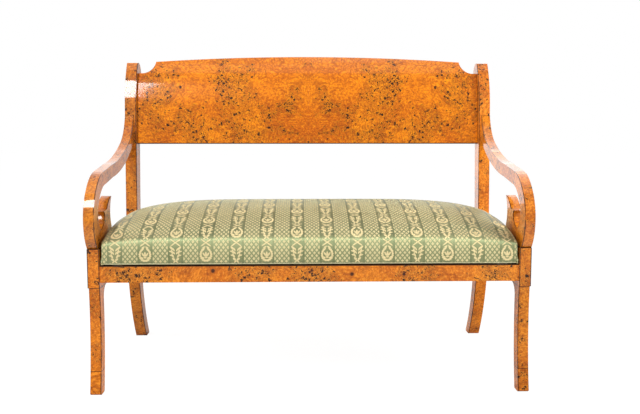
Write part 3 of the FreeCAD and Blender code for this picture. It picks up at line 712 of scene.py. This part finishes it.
def seat_section(share):
    """Points (y, z) of the seat's section at a share of its half width.

    They run from the front border's foot over the crown to the rear border's foot.
    """
    fullness = (1 - abs(share) ** CROWN_POWER) ** CROWN_SOFTNESS
    bottom = COVER_LOW.z
    front = COVER_LOW.y
    rear = COVER_HIGH.y

    def height(name):
        base, lift = HEIGHTS[name]
        return bottom + base + lift * fullness

    foot = Vector((front + SEAT_TUCK, bottom))
    border = Vector((front, height("border")))
    front_edge = Vector((front + FRONT_ROLL_DEPTH, height("front_edge")))
    rear_edge = Vector((rear - REAR_ROLL_DEPTH, height("rear_edge")))
    rear_border = Vector((rear, height("rear_border")))
    rear_foot = Vector((rear, bottom))
    points = [foot]
    points += arc(foot, border, BORDER_RADIUS, BORDER_POINTS)
    points += arc(border, front_edge, FRONT_ROLL_RADIUS, ROLL_POINTS)
    points += arc(front_edge, rear_edge, CROWN_RADIUS, CROWN_POINTS)
    points += arc(rear_edge, rear_border, REAR_ROLL_RADIUS, ROLL_POINTS)
    for index in range(1, BORDER_POINTS + 1):
        points.append(rear_border.lerp(rear_foot, index / BORDER_POINTS))
    return points


# Sections on each side of the middle, and rows of a side wall
HALF_SECTIONS = 60
SIDE_ROWS = 6
MERGE_DISTANCE = 0.00002
SHORTEST_EDGE = 0.00001
COVER_THICKNESS = 0.0016
# Simulation: frames, height of the tacked edge, slack at the start, and the most that a point may move
SIMULATED_FRAMES = 20
PINNED_HEIGHT = 0.010
SLACK = 0.0030
SWELL_LIMIT = Vector((0.0012, 0.0015, 0.0018))


class Weave:
    """The cover as one sheet: points with their place in the woven pattern, joined by quads."""

    def __init__(self):
        self.mesh = bmesh.new()
        self.map = self.mesh.loops.layers.uv.new("weave")
        self.places = {}

    def point(self, position, u, v):
        vertex = self.mesh.verts.new(position)
        self.places[vertex] = (u, v)
        return vertex

    def quads(self, rows):
        for row, following in zip(rows, rows[1:]):
            for index in range(len(row) - 1):
                corners = [row[index], following[index], following[index + 1], row[index + 1]]
                face = self.mesh.faces.new(corners)
                face.smooth = True
                for loop in face.loops:
                    loop[self.map].uv = self.places[loop.vert]


def run_lengths(section):
    """Length of the section up to each of its points."""
    lengths = [0.0]
    for before, after in zip(section, section[1:]):
        lengths.append(lengths[-1] + (after - before).length)
    return lengths


def side_wall(weave, end, side):
    """Rows of points from an end of the top straight down to the cover's foot."""
    bottom = COVER_LOW.z
    wall = [end]
    for step in range(1, SIDE_ROWS + 1):
        drop = step / SIDE_ROWS
        lower = []
        for vertex in end:
            x, y, z = vertex.co
            u, v = weave.places[vertex]
            place = (x, y, z + (bottom - z) * drop)
            lower.append(weave.point(place, u + side * (z - bottom) * drop, v))
        wall.append(lower)
    return wall


def hem(weave, edge):
    """Points of the hem's inner edge, turned under from a lower edge of the cover."""
    inner_x = COVER_HIGH.x - HEM_WIDTH
    inner_front = COVER_LOW.y + SEAT_TUCK + HEM_WIDTH
    inner_rear = COVER_HIGH.y - HEM_WIDTH
    points = []
    for vertex in edge:
        x = min(max(vertex.co.x, -inner_x), inner_x)
        y = min(max(vertex.co.y, inner_front), inner_rear)
        u, v = weave.places[vertex]
        points.append(weave.point((x, y, COVER_LOW.z), u, v - HEM_WIDTH))
    return points


def cover_sheet():
    """Top, borders, side walls and the hem below, as one open sheet with its face outwards."""
    weave = Weave()
    rows = []
    for index in range(-HALF_SECTIONS, HALF_SECTIONS + 1):
        share = math.sin(math.pi / 2 * index / HALF_SECTIONS)
        x = share * COVER_HIGH.x
        section = seat_section(share)
        rows.append([weave.point((x, y, z), x, v) for (y, z), v in zip(section, run_lengths(section))])
    weave.quads(rows)
    edges = [[row[0] for row in rows], [row[-1] for row in reversed(rows)]]
    for side, end in ((LEFT, rows[0]), (RIGHT, rows[-1])):
        wall = side_wall(weave, end, side)
        weave.quads(wall if side == RIGHT else wall[::-1])
        edges.append(wall[-1] if side == RIGHT else wall[-1][::-1])
    for edge in edges:
        weave.quads([hem(weave, edge), edge])
    bmesh.ops.remove_doubles(weave.mesh, verts=weave.mesh.verts, dist=MERGE_DISTANCE)
    bmesh.ops.dissolve_degenerate(weave.mesh, edges=weave.mesh.edges, dist=SHORTEST_EDGE)
    bmesh.ops.recalc_face_normals(weave.mesh, faces=weave.mesh.faces)
    data = bpy.data.meshes.new("seat_upholstery")
    weave.mesh.to_mesh(data)
    weave.mesh.free()
    return data


def swell(piece):
    """Lets a short cloth simulation fill the cover from inside, within a few millimetres."""
    data = piece.data
    bottom = COVER_LOW.z
    full = [vertex.co.copy() for vertex in data.vertices]
    for vertex in data.vertices:
        lift = max(0.0, vertex.co.z - bottom - PINNED_HEIGHT) / (COVER_HIGH.z - bottom)
        vertex.co.z -= SLACK * lift
    tacked = [vertex.index for vertex in data.vertices if vertex.co.z < bottom + PINNED_HEIGHT]
    held = piece.vertex_groups.new(name="tacked")
    held.add(tacked, 1, "REPLACE")
    cloth = piece.modifiers.new("filling", "CLOTH")
    cloth.settings.vertex_group_mass = "tacked"
    cloth.settings.use_pressure = True
    cloth.settings.uniform_pressure_force = 4
    cloth.settings.effector_weights.gravity = 0
    cloth.settings.tension_stiffness = 25
    cloth.settings.compression_stiffness = 25
    cloth.settings.bending_stiffness = 2
    cloth.settings.quality = 5
    scene = bpy.context.scene
    for number in range(1, SIMULATED_FRAMES + 1):
        scene.frame_set(number)
    swollen = piece.evaluated_get(bpy.context.evaluated_depsgraph_get()).data
    moved = [vertex.co.copy() for vertex in swollen.vertices]
    piece.modifiers.remove(cloth)
    piece.vertex_groups.clear()
    scene.frame_set(1)
    for vertex, start, end in zip(data.vertices, full, moved):
        shift = [min(max(b - a, -limit), limit) for a, b, limit in zip(start, end, SWELL_LIMIT)]
        vertex.co = start + Vector(shift)


def seat_cover():
    """The upholstered seat: the sheet, filled by simulation and then given its thickness."""
    piece = bpy.data.objects.new("seat_upholstery", cover_sheet())
    bpy.context.scene.collection.objects.link(piece)
    piece.data.materials.append(striped_fabric())
    swell(piece)
    thickness = piece.modifiers.new("thickness", "SOLIDIFY")
    thickness.thickness = COVER_THICKNESS
    thickness.offset = -1
    return piece


# Stage

FLOOR_SIZE = 40
# The floor as the camera sees it: its own glow, and a diffuse share in which the shadow shows
FLOOR_GLOW = 0.93
FLOOR_SHADE = (0.12, 0.12, 0.12, 1)
# The floor and the world as they light the sofa
FLOOR_PAINT = (0.88, 0.88, 0.88, 1)
WORLD_LEVEL = 0.6

# Lamps: name, place, target, width, height, power in watts
LAMPS = (
    ("key", (-1.10, -1.7, 2.15), (-0.3, 0.1, 2.15), 0.26, 1.3, 40),
    ("top", (0, -0.4, 3.0), (0, -0.1, 0.4), 2.6, 0.8, 8),
    ("left", (-3.0, -0.25, 1.1), (0, 0, 0.5), 1.2, 1.4, 68),
    ("right", (2.4, -1.3, 1.8), (0.3, 0.1, 0.8), 1.2, 1.4, 62),
)
# Lamps that only draw reflections: the satin's sheen, and the white ceiling and backdrop in the polish
SHEEN_LAMP = ("sheen", (0, -2.6, 1.6), (0, -0.3, 0.42), 4.0, 1.5, 220)
CEILING_LAMPS = (
    ("ceiling_left", (-1.25, 2.0, 3.6), (-1.25, 2.0, 0), 2.5, 4.0, 17),
    ("ceiling_right", (1.25, 2.0, 3.6), (1.25, 2.0, 0), 2.5, 4.0, 52),
)
BACKDROP_LAMPS = (
    ("backdrop_left", (-2.25, 4.0, 2.0), (-2.25, 0, 2.0), 4.5, 4.0, 44),
    ("backdrop_right", (2.7, 4.0, 2.0), (2.7, 0, 2.0), 3.6, 4.0, 54),
)


def seen_directly(tree):
    """1 for rays from the camera, 0 for the light that falls on things."""
    path = tree.nodes.new("ShaderNodeLightPath")
    return Wire(tree, path.outputs["Is Camera Ray"])


def studio():
    """A white floor that keeps a faint shadow, and a white world."""
    shader = Shader("white_floor")
    speckle = shader.noise(shader.position(), 60, detail=2)
    shader.set(Base_Color=FLOOR_PAINT, Roughness=speckle * 0.1 + 0.8, Specular_IOR_Level=0.0)
    glow = shader.tree.nodes.new("ShaderNodeEmission")
    glow.inputs["Color"].default_value = WHITE
    glow.inputs["Strength"].default_value = FLOOR_GLOW
    shade = shader.tree.nodes.new("ShaderNodeBsdfDiffuse")
    shade.inputs["Color"].default_value = FLOOR_SHADE
    white = shader.tree.nodes.new("ShaderNodeAddShader")
    shader.tree.links.new(glow.outputs[0], white.inputs[0])
    shader.tree.links.new(shade.outputs[0], white.inputs[1])
    blend = shader.tree.nodes.new("ShaderNodeMixShader")
    connect(shader.tree, seen_directly(shader.tree), blend.inputs[0])
    shader.tree.links.new(shader.surface.outputs[0], blend.inputs[1])
    shader.tree.links.new(white.outputs[0], blend.inputs[2])
    shader.tree.links.new(blend.outputs[0], shader.tree.nodes["Material Output"].inputs[0])
    bpy.ops.mesh.primitive_plane_add(size=FLOOR_SIZE)
    floor = bpy.context.object
    floor.name = "floor"
    floor.data.materials.append(shader.material)

    world = bpy.data.worlds.new("studio")
    bpy.context.scene.world = world
    world.use_nodes = True
    tree = world.node_tree
    background = tree.nodes["Background"]
    strength = seen_directly(tree) * (1 - WORLD_LEVEL) + WORLD_LEVEL
    connect(tree, strength, background.inputs["Strength"])
    background.inputs["Color"].default_value = WHITE


def softbox(name, place, target, width, height, power):
    """An area lamp at a place, turned to its target."""
    light = bpy.data.lights.new(name, "AREA")
    light.shape = "RECTANGLE"
    light.size = width
    light.size_y = height
    light.energy = power
    lamp = bpy.data.objects.new(name, light)
    lamp.location = place
    lamp.rotation_euler = (Vector(target) - Vector(place)).to_track_quat("-Z", "Y").to_euler()
    bpy.context.scene.collection.objects.link(lamp)
    return lamp


def gloss_only(lamp, pieces):
    """Keeps a lamp to the reflections that it draws on some pieces."""
    lamp.visible_camera = False
    lamp.visible_diffuse = False
    lit = bpy.data.collections.new(lamp.name + "_pieces")
    for piece in pieces:
        lit.objects.link(piece)
    lamp.light_linking.receiver_collection = lit


def lamps(cover):
    """The plain soft lamps, then those that only draw reflections."""
    polished = [nodes[name] for name in POLISHED]
    for lamp in LAMPS:
        softbox(*lamp)
    gloss_only(softbox(*SHEEN_LAMP), [cover])
    for lamp in CEILING_LAMPS:
        gloss_only(softbox(*lamp), polished)
    for lamp in BACKDROP_LAMPS:
        gloss_only(softbox(*lamp), polished + [cover])


def camera():
    """The camera of the photograph."""
    lens = bpy.data.cameras.new("camera")
    lens.lens = CAMERA_LENS
    lens.sensor_width = CAMERA_SENSOR
    eye = bpy.data.objects.new("camera", lens)
    eye.location = CAMERA_PLACE
    eye.rotation_euler = (math.radians(CAMERA_PITCH), 0, math.radians(CAMERA_YAW))
    bpy.context.scene.collection.objects.link(eye)
    bpy.context.scene.camera = eye


dress_burl()
dress_inside()
cover = seat_cover()
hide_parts("seat_cover", "seat_stuffing")
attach(cover, "seat")
studio()
lamps(cover)
camera()
bpy.context.scene.view_settings.view_transform = "Standard"
